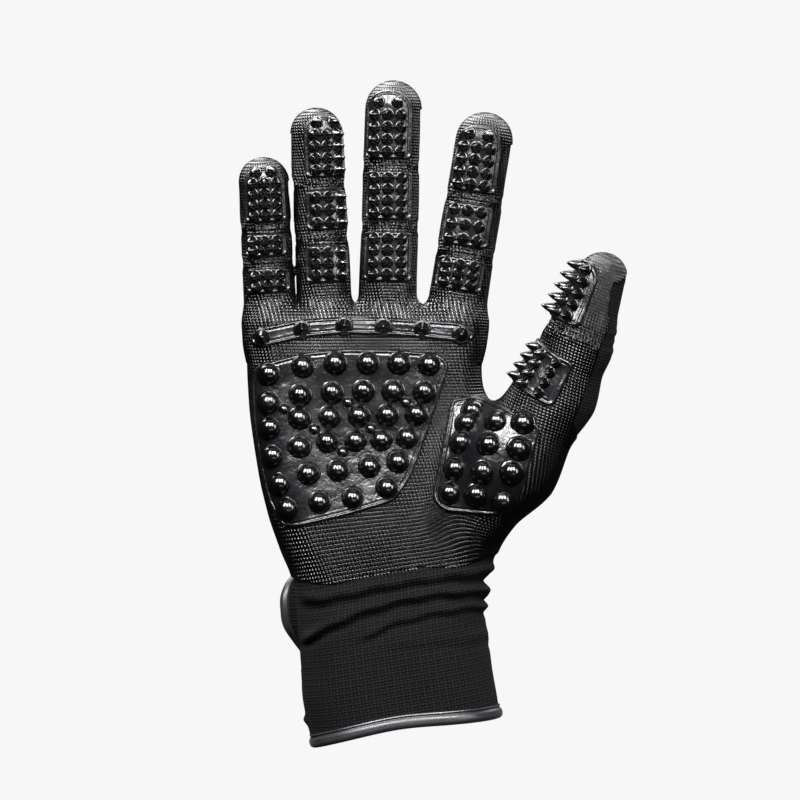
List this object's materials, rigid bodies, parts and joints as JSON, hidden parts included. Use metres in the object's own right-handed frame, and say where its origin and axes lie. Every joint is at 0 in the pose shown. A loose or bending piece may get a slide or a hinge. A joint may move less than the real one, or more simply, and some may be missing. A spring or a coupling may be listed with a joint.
{
  "type": "pet grooming glove",
  "caption": "Right-hand pet grooming glove: knitted liner with a rubber-dipped palm side, moulded pads of nubs, bendable fingers and thumb, and a cuff with a hook-and-loop strap.",
  "frame": {"origin": "centre of the wrist opening at the hem", "axes": "+Z from the cuff to the fingertips, -Y the way the palm faces, +X towards the thumb"},
  "size_m": [0.1442, 0.0701, 0.2501],
  "materials": {
    "knit": "matte fine knit",
    "dip": "glossy rubber over knit",
    "moulded_pad": "semi-gloss moulded rubber",
    "binding": "satin tape",
    "webbing": "woven webbing",
    "loop_tape": "fuzzy loops",
    "hook_tape": "moulded hooks"
  },
  "bodies": {
    "palm": {"cuff_liner": "knit", "hem_binding": "binding", "slit_binding": "binding", "palm_liner": "knit", "palm_dip": "dip", "palm_pad": "moulded_pad", "thenar_pad": "moulded_pad", "knuckle_pad": "moulded_pad", "loop_patch": "loop_tape", "strap_anchor": "webbing"},
    "strap": {"strap": "webbing", "hook_patch": "hook_tape"},
    "little_base": {"little_base_liner": "knit", "little_base_dip": "dip", "little_base_pad": "moulded_pad"},
    "little_middle": {"little_middle_liner": "knit", "little_middle_dip": "dip", "little_middle_pad": "moulded_pad"},
    "little_tip": {"little_tip_liner": "knit", "little_tip_dip": "dip", "little_tip_pad": "moulded_pad"},
    "ring_base": {"ring_base_liner": "knit", "ring_base_dip": "dip", "ring_base_pad": "moulded_pad"},
    "ring_middle": {"ring_middle_liner": "knit", "ring_middle_dip": "dip", "ring_middle_pad": "moulded_pad"},
    "ring_tip": {"ring_tip_liner": "knit", "ring_tip_dip": "dip", "ring_tip_pad": "moulded_pad"},
    "middle_base": {"middle_base_liner": "knit", "middle_base_dip": "dip", "middle_base_pad": "moulded_pad"},
    "middle_middle": {"middle_middle_liner": "knit", "middle_middle_dip": "dip", "middle_middle_pad": "moulded_pad"},
    "middle_tip": {"middle_tip_liner": "knit", "middle_tip_dip": "dip", "middle_tip_pad": "moulded_pad"},
    "index_base": {"index_base_liner": "knit", "index_base_dip": "dip", "index_base_pad": "moulded_pad"},
    "index_middle": {"index_middle_liner": "knit", "index_middle_dip": "dip", "index_middle_pad": "moulded_pad"},
    "index_tip": {"index_tip_liner": "knit", "index_tip_dip": "dip", "index_tip_pad": "moulded_pad"},
    "thumb_base": {"thumb_base_liner": "knit", "thumb_base_dip": "dip", "thumb_base_pad": "moulded_pad"},
    "thumb_tip": {"thumb_tip_liner": "knit", "thumb_tip_dip": "dip", "thumb_tip_pad": "moulded_pad"}
  },
  "joints": [
    {"name": "little_base_bend", "type": "hinge", "parent": "palm", "child": "little_base", "pos_m": [-0.05087, -0.00998, 0.1605], "axis": [0.9988, 0, 0.0489], "range_deg": [0, 70], "stiffness_Nm_per_rad": 0.16},
    {"name": "little_middle_bend", "type": "hinge", "parent": "little_base", "child": "little_middle", "pos_m": [-0.05162, -0.01085, 0.17526], "axis": [0.9988, 0, 0.0489], "range_deg": [0, 75], "stiffness_Nm_per_rad": 0.1},
    {"name": "little_tip_bend", "type": "hinge", "parent": "little_middle", "child": "little_tip", "pos_m": [-0.05225, -0.01158, 0.18803], "axis": [0.9988, 0, 0.0489], "range_deg": [0, 60], "stiffness_Nm_per_rad": 0.05},
    {"name": "ring_base_bend", "type": "hinge", "parent": "palm", "child": "ring_base", "pos_m": [-0.03059, -0.0104, 0.1605], "axis": [0.9988, 0, 0.0489], "range_deg": [0, 70], "stiffness_Nm_per_rad": 0.16},
    {"name": "ring_middle_bend", "type": "hinge", "parent": "ring_base", "child": "ring_middle", "pos_m": [-0.03176, -0.0108, 0.1843], "axis": [0.9988, 0, 0.0489], "range_deg": [0, 75], "stiffness_Nm_per_rad": 0.1},
    {"name": "ring_tip_bend", "type": "hinge", "parent": "ring_middle", "child": "ring_tip", "pos_m": [-0.03275, -0.01114, 0.20447], "axis": [0.9988, 0, 0.0489], "range_deg": [0, 60], "stiffness_Nm_per_rad": 0.05},
    {"name": "middle_base_bend", "type": "hinge", "parent": "palm", "child": "middle_base", "pos_m": [-0.0066, -0.0113, 0.1605], "axis": [0.9997, 0, -0.0262], "range_deg": [0, 70], "stiffness_Nm_per_rad": 0.16},
    {"name": "middle_middle_bend", "type": "hinge", "parent": "middle_base", "child": "middle_middle", "pos_m": [-0.00585, -0.01103, 0.18899], "axis": [0.9997, 0, -0.0262], "range_deg": [0, 75], "stiffness_Nm_per_rad": 0.1},
    {"name": "middle_tip_bend", "type": "hinge", "parent": "middle_middle", "child": "middle_tip", "pos_m": [-0.00526, -0.01081, 0.21158], "axis": [0.9997, 0, -0.0262], "range_deg": [0, 60], "stiffness_Nm_per_rad": 0.05},
    {"name": "index_base_bend", "type": "hinge", "parent": "palm", "child": "index_base", "pos_m": [0.01957, -0.0114, 0.1605], "axis": [0.9874, 0, -0.1582], "range_deg": [0, 70], "stiffness_Nm_per_rad": 0.16},
    {"name": "index_middle_bend", "type": "hinge", "parent": "index_base", "child": "index_middle", "pos_m": [0.02256, -0.01151, 0.17897], "axis": [0.9874, 0, -0.1582], "range_deg": [0, 75], "stiffness_Nm_per_rad": 0.1},
    {"name": "index_tip_bend", "type": "hinge", "parent": "index_middle", "child": "index_tip", "pos_m": [0.02577, -0.01164, 0.19901], "axis": [0.9874, 0, -0.1582], "range_deg": [0, 60], "stiffness_Nm_per_rad": 0.05},
    {"name": "thumb_base_bend", "type": "hinge", "parent": "palm", "child": "thumb_base", "pos_m": [0.04579, -0.02482, 0.12888], "axis": [0.5178, -0.7399, -0.4296], "range_deg": [0, 15], "stiffness_Nm_per_rad": 0.16},
    {"name": "thumb_tip_bend", "type": "hinge", "parent": "thumb_base", "child": "thumb_tip", "pos_m": [0.05879, -0.02983, 0.15361], "axis": [0.2809, -0.9406, -0.1908], "range_deg": [0, 40], "stiffness_Nm_per_rad": 0.06},
    {"name": "strap_peel", "type": "hinge", "parent": "palm", "child": "strap", "pos_m": [-0.03978, 0.01339, 0.01789], "axis": [-0.0997, 0.0363, 0.9944], "range_deg": [0, 100], "stiffness_Nm_per_rad": 0.02}
  ]
}
